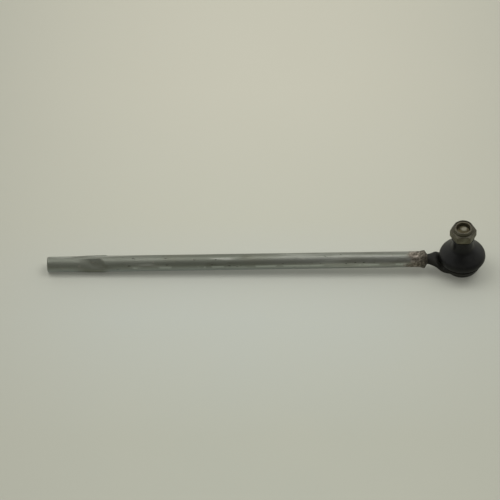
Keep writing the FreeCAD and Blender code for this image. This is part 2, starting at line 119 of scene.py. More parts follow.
# Nut and insert
NUT_FLAT = 11.5
NUT_SEAT = 33.0
NUT_HEX_HEIGHT = 8.8
NUT_HEIGHT = 12.6
HEX_TOP = NUT_SEAT + NUT_HEX_HEIGHT
NUT_TOP = NUT_SEAT + NUT_HEIGHT
NUT_CHAMFER = 0.9
NUT_AROUND = 240
CROWN_RADIUS = 10.0
CROWN_LIP = 0.9
INSERT_RADIUS = 8.8
INSERT_HEIGHT = 3.4

# Stud
BALL_RADIUS = 11.0
BALL_FLAT = 8.9
STUD_NECK = 6.0
STUD_NECK_TOP = 14.0
TAPER_LOW = 16.4
TAPER_LOW_RADIUS = 8.1
TAPER_HIGH = 32.0
TAPER_HIGH_RADIUS = 7.3
STUD_THREAD_FOOT = 32.7
STUD_THREAD_RADIUS = 7.0
STUD_END = 42.2

AROUND = 160
CREASE_ANGLE = math.radians(38.0)


def to_row(points):
    """Rod-frame millimetres to row-frame metres: turn by the rod's lie, then move to the ball's centre."""
    return points @ LAY.T * MM + np.array(BALL_CENTRE)


def new_piece(name, verts, faces, material):
    """A finished mesh in the row frame, smooth with sharp creases, its faces pointing outwards."""
    mesh = bpy.data.meshes.new(name)
    mesh.from_pydata(to_row(verts).tolist(), [], faces)
    shell = bmesh.new()
    shell.from_mesh(mesh)
    bmesh.ops.recalc_face_normals(shell, faces=shell.faces)
    shell.to_mesh(mesh)
    shell.free()
    mesh.shade_smooth()
    mesh.set_sharp_from_angle(angle=CREASE_ANGLE)
    piece = bpy.data.objects.new(name, mesh)
    bpy.context.scene.collection.objects.link(piece)
    mesh.materials.append(material)
    return piece


def angles(count=AROUND):
    """Evenly spaced angles round a circle, as one row."""
    return np.linspace(0.0, 2.0 * math.pi, count, endpoint=False)[None, :]


def ring_grid(rows, columns, closed):
    """Quads between neighbouring rows of a grid whose columns run round. Closed joins the last row to the
    first."""
    row = np.arange(rows if closed else rows - 1)[:, None]
    column = np.arange(columns)[None, :]
    following = (row + 1) % rows
    beside = (column + 1) % columns
    quads = np.stack(np.broadcast_arrays(
        row * columns + column, following * columns + column,
        following * columns + beside, row * columns + beside), axis=-1)
    return quads.reshape(-1, 4).tolist()


def spread(values, count):
    """A value per row, or a row of values per row, as an array of rows by columns."""
    values = np.asarray(values)
    return np.broadcast_to(values if values.ndim == 2 else values[:, None], (len(values), count))


def turned(radius, height, closed, count=AROUND):
    """Turn rows about the Z axis: x = r cos a, y = r sin a, z = h. radius and height are arrays of rows by
    columns or of rows alone. Open rows end in a pole at each end, closed rows make a ring."""
    angle = angles(count)
    radius = spread(radius, count)
    height = spread(height, count)
    verts = np.stack([radius * np.cos(angle), radius * np.sin(angle), height], axis=-1).reshape(-1, 3)
    faces = ring_grid(len(radius), count, closed)
    if not closed:
        first, last = len(verts), len(verts) + 1
        verts = np.vstack([verts, [[0.0, 0.0, height[0].mean()], [0.0, 0.0, height[-1].mean()]]])
        base = (len(radius) - 1) * count
        column = np.arange(count)
        beside = (column + 1) % count
        low = np.stack([np.full(count, first), beside, column], axis=-1)
        high = np.stack([np.full(count, last), base + column, base + beside], axis=-1)
        faces = faces + low.tolist() + high.tolist()
    return verts, faces


def round_tube(place, radius, angle):
    """Rows round the tube's axis: x = place, y = r cos a, z = r sin a."""
    place = np.broadcast_to(place, radius.shape)
    return np.stack([place, radius * np.cos(angle), radius * np.sin(angle)], axis=-1).reshape(-1, 3)


def run_between(start, end, step):
    """Evenly spaced points strictly between start and end."""
    count = max(int(np.linalg.norm(end - start) / step), 0)
    share = np.linspace(0.0, 1.0, count + 2)[1:-1, None]
    return start + (end - start) * share


def round_corners(corners, step=0.6, steps=7, closed=True):
    """A profile through (radius, height, fillet) corners: each corner becomes an arc of its fillet radius
    that touches both edges, and the straight runs between are cut into steps of a set length."""
    count = len(corners)
    points = []
    for index, (x, y, fillet) in enumerate(corners):
        here = np.array([x, y])
        inner = closed or 0 < index < count - 1
        before = np.array(corners[index - 1][:2])
        after = np.array(corners[(index + 1) % count][:2])
        if fillet <= 0.0 or not inner:
            arc = here[None, :]
        else:
            back = (before - here) / np.linalg.norm(before - here)
            ahead = (after - here) / np.linalg.norm(after - here)
            half = 0.5 * math.acos(float(np.clip(back @ ahead, -1.0, 1.0)))
            reach = fillet / math.tan(half)
            middle = here + (back + ahead) / np.linalg.norm(back + ahead) * (fillet / math.sin(half))
            start = here + back * reach - middle
            end = here + ahead * reach - middle
            turn = math.atan2(start[0] * end[1] - start[1] * end[0], float(start @ end))
            sweep = np.linspace(0.0, turn, steps)[:, None]
            arc = middle + start * np.cos(sweep) + np.array([-start[1], start[0]]) * np.sin(sweep)
        if points:
            points.append(run_between(points[-1][-1], arc[0], step))
        points.append(arc)
    if closed:
        points.append(run_between(points[-1][-1], points[0][0], step))
    return np.vstack(points)


def smooth_step(value, low, high):
    """0 below low, 1 above high, and 3 t^2 - 2 t^3 between."""
    t = np.clip((value - low) / (high - low), 0.0, 1.0)
    return t * t * (3.0 - 2.0 * t)


def soft_min(first, second, width):
    """The smaller of two values, rounded over a set width where they meet."""
    share = np.clip(0.5 + 0.5 * (second - first) / width, 0.0, 1.0)
    return second * (1.0 - share) + first * share - width * share * (1.0 - share)


# Materials

def linear(red, green, blue):
    """A screen colour of 0 to 255 as linear light."""
    value = np.array([red, green, blue]) / 255.0
    return tuple(np.where(value <= 0.04045, value / 12.92, ((value + 0.055) / 1.055) ** 2.4).tolist())


class Nodes:
    """Short calls for the nodes of one tree, which reads one kind of coordinates. Wherever a call takes a
    value, it takes a node's output or a plain one."""

    def __init__(self, tree, coordinates):
        self.tree = tree
        self.place = tree.nodes.new("ShaderNodeTexCoord").outputs[coordinates]

    def feed(self, value, socket):
        """Link a node's output to a socket, or write a plain value into it."""
        if isinstance(value, bpy.types.NodeSocket):
            self.tree.links.new(value, socket)
        else:
            socket.default_value = value

    def node(self, kind, **inputs):
        made = self.tree.nodes.new(kind)
        for key, value in inputs.items():
            self.feed(value, made.inputs[key.replace("_", " ")])
        return made

    def number(self, operation, *values):
        made = self.tree.nodes.new("ShaderNodeMath")
        made.operation = operation
        for socket, value in zip(made.inputs, values):
            self.feed(value, socket)
        return made.outputs["Value"]

    def plus(self, first, second):
        return self.number("ADD", first, second)

    def minus(self, first, second):
        return self.number("SUBTRACT", first, second)

    def times(self, first, second):
        return self.number("MULTIPLY", first, second)

    def coordinate(self, axis):
        return self.node("ShaderNodeSeparateXYZ", Vector=self.place).outputs[axis]

    def fade(self, value, start, end):
        """0 to 1 as the value goes from start to end, which may be the lower one."""
        return self.node("ShaderNodeMapRange", Value=value, From_Min=start, From_Max=end).outputs["Result"]


class Finish(Nodes):
    """A node material on Object coordinates."""

    def __init__(self, name):
        self.material = bpy.data.materials.new(name)
        self.material.use_nodes = True
        super().__init__(self.material.node_tree, "Object")
        self.shader = self.tree.nodes["Principled BSDF"]

    def shade(self, **inputs):
        """Set inputs of the material's shader."""
        for key, value in inputs.items():
            self.feed(value, self.shader.inputs[key.replace("_", " ")])

    def noise(self, scale, detail=3.0, stretch=(1.0, 1.0, 1.0), offset=(0.0, 0.0, 0.0), roughness=0.55):
        mapping = self.node("ShaderNodeMapping", Vector=self.place, Scale=stretch, Location=offset)
        made = self.node("ShaderNodeTexNoise", Vector=mapping.outputs["Vector"], Scale=scale,
                         Detail=detail, Roughness=roughness)
        return made.outputs["Fac"]

    def ramp(self, value, stops):
        """A colour from (position, colour) stops."""
        made = self.node("ShaderNodeValToRGB", Fac=value)
        ramp = made.color_ramp
        while len(ramp.elements) < len(stops):
            ramp.elements.new(0.5)
        for element, (position, colour) in zip(ramp.elements, stops):
            element.position = position
            element.color = (*colour, 1.0)
        return made.outputs["Color"]

    def level(self, value, low, high):
        """Black below low and white above high."""
        return self.ramp(value, [(low, (0.0, 0.0, 0.0)), (high, (1.0, 1.0, 1.0))])

    def mix(self, share, first, second):
        """From the first colour to the second as the share goes from 0 to 1."""
        made = self.tree.nodes.new("ShaderNodeMix")
        made.data_type = "RGBA"
        self.feed(share, made.inputs[0])
        for colour, socket in ((first, made.inputs[6]), (second, made.inputs[7])):
            self.feed((*colour, 1.0) if isinstance(colour, tuple) else colour, socket)
        return made.outputs[2]

    def spots(self, pattern, low, high, share, under, colour):
        """A colour laid over another where a pattern passes from low to high, at most by a share."""
        return self.mix(self.times(self.level(pattern, low, high), share), under, colour)

    def along(self, start, end):
        """0 to 1 along the rod between two rod-frame places: the row X of each gives the ends."""
        low, high = (float(BALL_CENTRE.x + ALONG.x * place * MM) for place in (start, end))
        return self.fade(self.coordinate("X"), low, high)

    def above_axis(self):
        """Height above the tube's axis in millimetres."""
        slope = ALONG.z / ALONG.x
        line = self.number("MULTIPLY_ADD", self.coordinate("X"), slope, BALL_CENTRE.z - BALL_CENTRE.x * slope)
        return self.number("DIVIDE", self.minus(self.coordinate("Z"), line), MM)

    def above_ball(self):
        """Height over the ball's centre along the stud, in millimetres."""
        apart = self.node("ShaderNodeVectorMath", Vector=self.place)
        apart.operation = "SUBTRACT"
        apart.inputs[1].default_value = BALL_CENTRE
        made = self.node("ShaderNodeVectorMath", Vector=apart.outputs["Vector"])
        made.operation = "DOT_PRODUCT"
        made.inputs[1].default_value = UP / MM
        return made.outputs["Value"]

    def distance_to(self, point):
        """Distance to a point of the rod frame, in metres."""
        made = self.node("ShaderNodeVectorMath", Vector=self.place)
        made.operation = "DISTANCE"
        made.inputs[1].default_value = Vector(to_row(np.array([point]))[0])
        return made.outputs["Value"]

    def near_side(self):
        """1 on the side that faces -Y, 0 on the other."""
        return self.number("LESS_THAN", self.coordinate("Y"), 0.0)

    def rough(self, value, low, high):
        """Roughness from low to high as the value goes from 0 to 1."""
        made = self.node("ShaderNodeMapRange", Value=value, To_Min=low, To_Max=high)
        self.shade(Roughness=made.outputs["Result"])

    def bump(self, height, strength, distance=0.0002):
        made = self.node("ShaderNodeBump", Height=height, Strength=strength, Distance=distance)
        self.shade(Normal=made.outputs["Normal"])


def plated_tube():
    """Dull zinc plate with long rubbed streaks and a few dark specks, less dirty and brighter towards the
    joint, with a painted reflection of the lit floor that lightens its underside, a scuffed line along its near
    side and a ragged heat tint beside the weld."""
    finish = Finish("plated_tube")
    height = finish.above_axis()
    brighter = finish.along(-225.0, -70.0)

    # Plate, streaks and clouds
    streaks = finish.noise(60.0, 4.0, stretch=(0.08, 1.0, 1.0))
    cloud = finish.noise(26.0, 4.0, stretch=(0.5, 1.0, 1.0), offset=(0.3, 0.0, 0.1))
    rubbed = finish.noise(170.0, 2.0, stretch=(0.12, 1.0, 1.0), offset=(0.9, 0.3, 0.0))
    dark_tone = finish.noise(90.0, 5.0, stretch=(0.22, 1.0, 1.0), offset=(0.0, 0.2, 0.0), roughness=0.62)
    specks = finish.noise(330.0, 2.0, stretch=(0.4, 1.0, 1.0), offset=(0.07, 0.0, 0.0))
    plate = finish.mix(brighter, linear(124, 127, 116), linear(162, 163, 156))
    for pattern, low, high, share, colour in ((streaks, 0.45, 0.7, 1.0, (104, 108, 95)),
                                              (cloud, 0.5, 0.72, 0.5, (112, 110, 92)),
                                              (rubbed, 0.58, 0.68, 0.5, (176, 178, 168)),
                                              (dark_tone, 0.56, 0.68, 0.4, (84, 82, 66)),
                                              (specks, 0.68, 0.73, 0.75, (58, 56, 46))):
        plate = finish.spots(pattern, low, high, share, plate, linear(*colour))

    # Painted reflection: the underside is painted lighter, standing in for the reflection of the lit floor in
    # front, but not on the pressed flat
    off_flat = finish.plus(finish.along(-360.0, -352.0), finish.along(-376.0, -390.0))
    underside_reflection = finish.times(off_flat, finish.minus(0.65, finish.times(brighter, 0.45)))
    underside_reflection = finish.times(finish.fade(height, 3.2, -3.0), underside_reflection)
    plate = finish.mix(underside_reflection, plate, linear(184, 192, 190))

    # Scuffs in a band along the near side
    scuffs = finish.noise(120.0, 3.0, stretch=(0.5, 0.4, 0.4), offset=(0.61, 0.0, 0.0))
    band = finish.fade(finish.number("ABSOLUTE", finish.minus(height, 1.3)), 1.4, 0.4)
    band = finish.times(finish.times(band, finish.near_side()), finish.along(-345.0, -330.0))
    scuffed = finish.times(band, finish.level(scuffs, 0.51, 0.56))
    plate = finish.mix(finish.times(scuffed, 0.6), plate, linear(190, 196, 188))

    # Heat tint beside the weld
    mottle = finish.noise(240.0, 4.0, roughness=0.7)
    wander = finish.noise(110.0, 3.0, offset=(0.2, 0.5, 0.1))
    ragged = finish.plus(finish.times(wander, 1.8), finish.times(mottle, 0.5))
    tint = finish.fade(finish.plus(finish.along(-61.0, -47.0), ragged), 1.45, 1.95)
    oxide = finish.ramp(mottle, [(0.36, linear(64, 59, 50)), (0.5, linear(116, 109, 98)),
                                 (0.64, linear(176, 168, 156))])
    rough = finish.plus(finish.times(dark_tone, 0.5), finish.times(tint, 0.4))
    finish.rough(finish.minus(rough, finish.times(brighter, 0.42)), 0.38, 0.78)
    finish.shade(Base_Color=finish.mix(tint, plate, oxide),
                 Metallic=finish.plus(finish.times(finish.along(-390.0, -200.0), 0.35), 0.5))
    finish.bump(finish.plus(streaks, finish.times(mottle, tint)), 0.3, 0.0001)
    return finish.material


def weld_steel():
    """Bare weld metal under a brown and grey oxide skin."""
    finish = Finish("weld_steel")
    mottle = finish.noise(320.0, 5.0, roughness=0.7)
    oxide = finish.ramp(mottle, [(0.32, linear(45, 42, 35)), (0.5, linear(84, 79, 68)),
                                 (0.68, linear(136, 128, 114))])
    finish.shade(Base_Color=oxide, Metallic=0.6)
    finish.rough(mottle, 0.4, 0.7)
    finish.bump(mottle, 0.6)
    return finish.material


def black_forging():
    """Half-matt black paint over a forged skin, with dust on it."""
    finish = Finish("black_forging")
    cloud = finish.noise(70.0, 4.0)
    paint = finish.mix(finish.level(cloud, 0.4, 0.7), linear(22, 22, 19), linear(38, 37, 31))
    finish.shade(Base_Color=paint, Specular_IOR_Level=0.25)
    finish.rough(cloud, 0.5, 0.75)
    finish.bump(finish.noise(420.0, 4.0, roughness=0.6), 0.45)
    return finish.material


def boot_rubber():
    """Black moulded rubber with a soft sheen and a little dust."""
    finish = Finish("boot_rubber")
    dust = finish.noise(120.0, 4.0)
    rubber = finish.mix(finish.level(dust, 0.45, 0.75), linear(12, 12, 11), linear(25, 25, 22))
    finish.shade(Base_Color=rubber, Specular_IOR_Level=0.25)
    finish.rough(dust, 0.3, 0.45)
    finish.bump(finish.noise(900.0, 2.0), 0.12, 0.0001)
    return finish.material


def nut_steel():
    """Worn olive passivated zinc with brown stains, darker on the step below the crown and on its lip. On the
    back of the lip, the far side, painted shade of the crown's far inner wall makes it darker and not metallic."""
    finish = Finish("nut_steel")
    cloud = finish.noise(150.0, 4.0, roughness=0.65)
    fine = finish.noise(600.0, 3.0)
    colour = finish.ramp(cloud, [(0.3, linear(75, 70, 53)), (0.5, linear(97, 94, 74)),
                                 (0.7, linear(124, 121, 102))])
    colour = finish.mix(finish.level(fine, 0.55, 0.75), colour, linear(60, 50, 36))
    height = finish.above_ball()
    from_step = finish.number("ABSOLUTE", finish.minus(height, HEX_TOP + 0.3))
    step = finish.times(finish.fade(from_step, 1.3, 0.5), 0.7)
    # The lip is darker all round, and its far side (+Y) is painted darker still: painted shade of the crown's
    # far inner wall
    lip = finish.times(finish.fade(height, NUT_TOP - 1.3, NUT_TOP - 0.5),
                       finish.plus(finish.fade(finish.coordinate("Y"), 0.0, 0.006), 0.7))
    darker_and_shaded = finish.number("MINIMUM", finish.number("MAXIMUM", step, lip), 0.92)
    # Painted shade: where the far side of the lip is darkest it is made not metallic, so it shows no reflection
    shaded_back_lip = finish.number("GREATER_THAN", darker_and_shaded, 0.75)
    finish.shade(Base_Color=finish.mix(darker_and_shaded, colour, linear(50, 46, 34)),
                 Metallic=finish.minus(0.5, finish.times(shaded_back_lip, 0.5)))
    finish.rough(cloud, 0.38, 0.6)
    finish.bump(fine, 0.2, 0.0001)
    return finish.material


def stud_steel():
    """Bright turned steel with a few brown stains, which shows only in a ragged middle of the thread's end,
    where the distance to a point near the axis, made ragged by the noise, is small; elsewhere the stud is
    darker."""
    finish = Finish("stud_steel")
    cloud = finish.noise(260.0, 4.0)
    steel = finish.mix(finish.level(cloud, 0.5, 0.68), linear(138, 135, 120), linear(104, 98, 80))
    # A darker colour over all of the stud but for a ragged bright middle of the thread's end
    dark_tone = finish.mix(finish.level(cloud, 0.4, 0.6), linear(56, 50, 35), linear(82, 76, 56))
    ragged = finish.plus(finish.times(finish.distance_to((0.7, 1.0, STUD_END)), 100.0),
                         finish.times(cloud, 0.5))
    finish.shade(Base_Color=finish.mix(finish.level(ragged, 0.4, 0.62), steel, dark_tone), Metallic=0.85)
    finish.rough(cloud, 0.26, 0.5)
    finish.bump(cloud, 0.2, 0.0001)
    return finish.material


def plain_finish(name, colour, darker, roughness, metallic=0.0):
    """One colour with a faint cloud of a darker one, for pieces that hardly show."""
    finish = Finish(name)
    cloud = finish.noise(180.0, 3.0)
    finish.shade(Base_Color=finish.mix(finish.level(cloud, 0.4, 0.7), colour, darker), Metallic=metallic)
    finish.rough(cloud, roughness - 0.08, roughness + 0.08)
    finish.bump(cloud, 0.15, 0.0001)
    return finish.material


TUBE_FINISH = plated_tube()
WELD_FINISH = weld_steel()
FORGING_FINISH = black_forging()
RUBBER_FINISH = boot_rubber()
NUT_FINISH = nut_steel()
STUD_FINISH = stud_steel()
INSERT_FINISH = plain_finish("insert_nylon", linear(96, 90, 70), linear(66, 60, 44), 0.5)
RING_FINISH = plain_finish("ring_wire", linear(40, 40, 38), linear(28, 27, 25), 0.42, 0.5)
BEARING_FINISH = plain_finish("bearing_plastic", linear(226, 222, 208), linear(206, 198, 176), 0.45)
SPRING_FINISH = plain_finish("spring_steel", linear(120, 120, 118), linear(92, 92, 88), 0.4, 0.8)
COVER_FINISH = plain_finish("cover_steel", linear(42, 42, 39), linear(58, 54, 46), 0.5, 0.2)


# Pieces

def pressed_radius(plain, press, angle, from_axis, width):
    """Radius of the pressed section in a direction: the smaller, softly, of the flat's c / |cos a| and of a
    circle that swells by the bulge times sin a squared, mixed in by how far the press has gone."""
    flat = from_axis / np.maximum(np.abs(np.cos(angle)), 0.05)
    side = plain + FLAT_BULGE * np.sin(angle) ** 2
    return plain + press * (soft_min(flat, side, width) - plain)


def press_depth(place, angle):
    """How far the flats are pressed at a place along the tube, from 0 to 1: t to the rise power over the long
    ramp, then 1, then a smooth step down. The place is slanted across each flat by its distance from the
    flat's middle line."""
    slanted = place - FLAT_SLANT * TUBE_RADIUS * np.sin(angle) * np.sign(np.cos(angle))
    rise = np.clip((slanted - RAMP_START) / (FLAT_START - RAMP_START), 0.0, 1.0) ** RISE_POWER
    return rise * (1.0 - smooth_step(slanted, FLAT_END, PRESS_END))


def make_tube():
    """The tube as one closed skin: along the outside, over the right end, back along the bore and its helical
    thread, and over the rounded left end. Radii are functions of the place and the angle round the tube. The
    thread's groove is a clipped triangle wave of place / pitch - angle / turn."""
    angle = angles()
    from_flat = angle - FLAT_TURN
    fine_end = PRESS_END + 6.0
    fine_step, coarse_step = 0.35, 1.5

    corner = np.linspace(0.0, 0.5 * math.pi, 7)
    outside = np.concatenate([
        TUBE_START + END_ROUND * (1.0 - np.cos(corner)),
        np.arange(TUBE_START + END_ROUND + coarse_step, RAMP_START - 1.0, coarse_step),
        np.arange(RAMP_START - 1.0, fine_end, fine_step),
        np.linspace(fine_end, TUBE_END, 150)])[:, None]
    rounding = np.zeros_like(outside)
    rounding[:len(corner), 0] = END_ROUND * (1.0 - np.sin(corner))
    plain = SWAGE_RADIUS + (TUBE_RADIUS - SWAGE_RADIUS) * smooth_step(outside, FLAT_START, PRESS_END)
    outer = pressed_radius(plain, press_depth(outside, from_flat), from_flat, FLAT_FROM_AXIS, 0.7) - rounding

    bore_place = np.concatenate([np.linspace(TUBE_END, fine_end, 12),
                                 np.arange(fine_end, RAMP_START, -0.8)])[:, None]
    plain = THREAD_BORE + (TUBE_BORE - THREAD_BORE) * smooth_step(bore_place, RAMP_START, fine_end)
    bore = pressed_radius(plain, press_depth(bore_place, from_flat), from_flat, FLAT_FROM_AXIS - WALL, 0.5)

    threaded = np.arange(RAMP_START, TUBE_START + MOUTH_CHAMFER, -THREAD_PITCH / 10.0)[:, None]
    turn = threaded / THREAD_PITCH - angle / (2.0 * math.pi)
    wave = 1.0 - np.abs(2.0 * (turn - np.floor(turn)) - 1.0)
    run_out = smooth_step(RAMP_START - threaded, 0.0, 2.0 * THREAD_PITCH)
    groove = THREAD_DEPTH * np.clip(1.25 * wave - 0.12, 0.0, 1.0) * run_out
    countersink = THREAD_BORE + MOUTH_CHAMFER + (TUBE_START - threaded) * 0.6
    thread = np.maximum(THREAD_BORE + groove, countersink)
    mouth = np.full((1, AROUND), THREAD_BORE + MOUTH_CHAMFER + 0.1)

    place = np.vstack([outside, bore_place, threaded, [[TUBE_START]]])
    radius = np.vstack([outer, bore, thread, mouth])
    faces = ring_grid(len(radius), AROUND, True)
    piece = new_piece("tube_skin", round_tube(place, radius, angle), faces, TUBE_FINISH)
    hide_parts("rod_tube")
    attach(piece, "rod")


def make_weld():
    """The weld: a bead whose crest follows an arch along the tube, with the overlapping ripples of a hand
    weld round it, r = base + arch (height + ripple + lumps), closed along the tube's skin and the neck. Sums
    of sines of the angle make its edge wander and its crest uneven."""
    angle = angles(WELD_AROUND)
    share = np.linspace(0.0, 1.0, 40)[:, None]
    wander = 0.35 * np.sin(2.0 * angle + 0.6) + 0.22 * np.sin(5.0 * angle + 2.0) + 0.12 * np.sin(9.0 * angle)
    place = WELD_START + wander * (1.0 - share) + (WELD_TOE - WELD_START) * share
    arch = np.sin(math.pi * share) ** 0.7
    base = TUBE_RADIUS + (NECK_RADIUS + 0.1 - TUBE_RADIUS) * smooth_step(share, 0.55, 1.0)
    phase = angle * WELD_RIPPLES / (2.0 * math.pi) + 3.6 * (share - 0.5) ** 2
    ripple = 0.16 * np.abs(np.sin(math.pi * phase)) ** 0.6
    lumps = 0.112 * np.sin(3.0 * angle + 1.0) + 0.08 * np.sin(7.0 * angle + 0.4)
    crest = base + arch * (WELD_HEIGHT * 0.78 + ripple + lumps)
    under = np.where(share > 0.72, NECK_RADIUS - 0.3, TUBE_RADIUS - 0.4) * np.ones_like(angle)
    radius = np.vstack([crest, under[::-1]])
    points = round_tube(np.vstack([place, place[::-1]]), radius, angle)
    faces = ring_grid(len(radius), WELD_AROUND, True)
    piece = new_piece("weld_ring", points, faces, WELD_FINISH)
    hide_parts("weld_bead")
    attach(piece, "rod")


def make_housing():
    """The forging: a copy of the solid, remeshed finely and relaxed so that its edges are soft as forged."""
    mesh = frame["nodes"]["joint_housing"].data.copy()
    piece = bpy.data.objects.new("housing_skin", mesh)
    bpy.context.scene.collection.objects.link(piece)
    shell = bmesh.new()
    shell.from_mesh(mesh)
    bmesh.ops.remove_doubles(shell, verts=shell.verts, dist=1e-6)
    shell.to_mesh(mesh)
    shell.free()
    remesh = piece.modifiers.new("Remesh", "REMESH")
    remesh.mode = "VOXEL"
    remesh.voxel_size = FORGING_VOXEL
    relax = piece.modifiers.new("Relax", "SMOOTH")
    relax.factor = 0.5
    relax.iterations = FORGING_RELAX_STEPS
    graph = bpy.context.evaluated_depsgraph_get()
    made = bpy.data.meshes.new_from_object(piece.evaluated_get(graph))
    piece.modifiers.clear()
    piece.data = made
    made.name = "housing_skin"
    made.shade_smooth()
    made.materials.clear()
    made.materials.append(FORGING_FINISH)
    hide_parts("joint_housing")
    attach(piece, "rod")


def shoulder_arc(radius):
    """The boot's shoulder from its widest place upwards: x = c + r cos a, z = b + r sin a."""
    sweep = np.linspace(0.0, SHOULDER_ANGLE, 16)
    return np.stack([BULGE_RADIUS - SHOULDER_RADIUS + radius * np.cos(sweep),
                     BULGE_HEIGHT + radius * np.sin(sweep)], axis=-1)


def boot_lines():
    """The closed profiles of the boot's two rings, which meet where the shoulder's arc ends: the skirt with
    its bead, and the cone with the neck. At the neck's foot the inner fillet is larger than the outer one by
    the wall."""
    bottom = BOOT_BOTTOM + 0.02
    outer_arc = shoulder_arc(SHOULDER_RADIUS)
    inner_arc = shoulder_arc(SHOULDER_RADIUS - BOOT_WALL)
    skirt_outer = round_corners([(BEAD_FOOT_RADIUS, bottom, 0), (BEAD_RADIUS, bottom, 0.5),
                                 (BEAD_RADIUS, BEAD_TOP - 0.5, 0.4), (BULGE_RADIUS, BEAD_TOP + 0.15, 1.4),
                                 (BULGE_RADIUS, BULGE_HEIGHT, 0)], closed=False, step=0.5)
    skirt_inner = round_corners([(BULGE_RADIUS - BOOT_WALL, BULGE_HEIGHT, 0),
                                 (BULGE_RADIUS - BOOT_WALL, BEAD_TOP + 1.7, 0.4),
                                 (SKIRT_BORE, BEAD_TOP + 1.2, 0.3), (SKIRT_BORE, BEAD_TOP, 0.2),
                                 (BEAD_BORE, BEAD_TOP, 0.2), (BEAD_BORE, bottom, 0)], closed=False, step=0.5)
    skirt = np.vstack([skirt_outer[:-1], outer_arc, inner_arc[::-1], skirt_inner[1:]])
    neck_bore = BOOT_NECK_RADIUS - BOOT_WALL
    neck = round_corners([(*outer_arc[-1], 0), (BOOT_NECK_RADIUS, NECK_FOOT, FOOT_FILLET),
                          (BOOT_NECK_RADIUS, BOOT_TOP, 0.5), (neck_bore, BOOT_TOP, 0.4),
                          (neck_bore, NECK_FOOT - 0.6, FOOT_FILLET + BOOT_WALL),
                          (*inner_arc[-1], 0)], closed=False, step=0.5, steps=12)
    return skirt, neck


def make_boot():
    """The rubber boot in two closed rings, turned from their profiles, that meet on the shoulder: the lower one
    with the skirt and its bead, the upper one with the cone and the neck."""
    skirt, neck = boot_lines()
    split = BULGE_HEIGHT + SHOULDER_RADIUS * math.sin(SHOULDER_ANGLE)
    for name, line, bodies, low, high in (
            ("boot_skirt", skirt, ("rod", "boot_fold"), BEAD_TOP, split - 0.6),
            ("boot_neck", neck, ("boot_fold", "boot_collar"), split + 0.4, BOOT_NECK_HEIGHT + 1.0)):
        verts, faces = turned(line[:, 0], line[:, 1], True)
        piece = new_piece(name, verts, faces, RUBBER_FINISH)
        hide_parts("dust_boot")
        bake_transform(piece)


def make_nut():
    """The nut as rows and angles: its radius is the softly smaller of the hexagon's f / cos a, with a counted
    from the middle of each flat, and of a turned envelope with the chamfers. The envelope alone makes the
    round crown above, and the bore."""
    angle = angles(NUT_AROUND)
    sector = math.pi / 3.0
    hexagon = NUT_FLAT / np.cos(angle % sector - 0.5 * sector)
    corner = NUT_FLAT / math.cos(0.5 * sector) + 0.15
    bore = STUD_THREAD_RADIUS + 0.05
    pocket = INSERT_RADIUS - 0.1
    pocket_top = NUT_TOP - CROWN_LIP
    pocket_low = pocket_top - INSERT_HEIGHT
    envelope = round_corners([
        (bore, NUT_SEAT, 0.3), (NUT_FLAT - 0.2, NUT_SEAT, 0.25), (corner, NUT_SEAT + NUT_CHAMFER, 0.3),
        (corner, HEX_TOP - NUT_CHAMFER, 0.3), (NUT_FLAT - 0.3, HEX_TOP, 0.35),
        (CROWN_RADIUS, HEX_TOP + 0.35, 0.35), (CROWN_RADIUS, NUT_TOP, 1.0),
        (INSERT_RADIUS - 0.25, NUT_TOP, 0.35), (pocket, pocket_top, 0.1), (pocket, pocket_low, 0.1),
        (bore, pocket_low, 0.1)], step=0.35, steps=8)
    radius = spread(envelope[:, 0], NUT_AROUND)
    height = spread(envelope[:, 1], NUT_AROUND)
    on_hexagon = (radius > NUT_FLAT - 0.5) & (height < HEX_TOP + 0.2)
    radius = np.where(on_hexagon, soft_min(hexagon, radius, 0.35), radius)
    verts, faces = turned(radius, height, True, NUT_AROUND)
    piece = new_piece("nut_body", verts, faces, NUT_FINISH)
    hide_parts("lock_nut")
    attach(piece, "stud")


def make_insert():
    """The nylon ring in the crown: a turned profile, a little smaller than its pocket."""
    top = NUT_TOP - CROWN_LIP - 0.02
    low = top - INSERT_HEIGHT + 0.06
    bore = STUD_THREAD_RADIUS + 0.06
    rim = INSERT_RADIUS - 0.14
    line = round_corners([(bore, low, 0.1), (rim, low, 0.1), (rim, top, 0.1), (bore, top, 0.45)], step=0.3)
    verts, faces = turned(line[:, 0], line[:, 1], True)
    piece = new_piece("insert_ring", verts, faces, INSERT_FINISH)
    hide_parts("nut_insert")
    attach(piece, "stud")


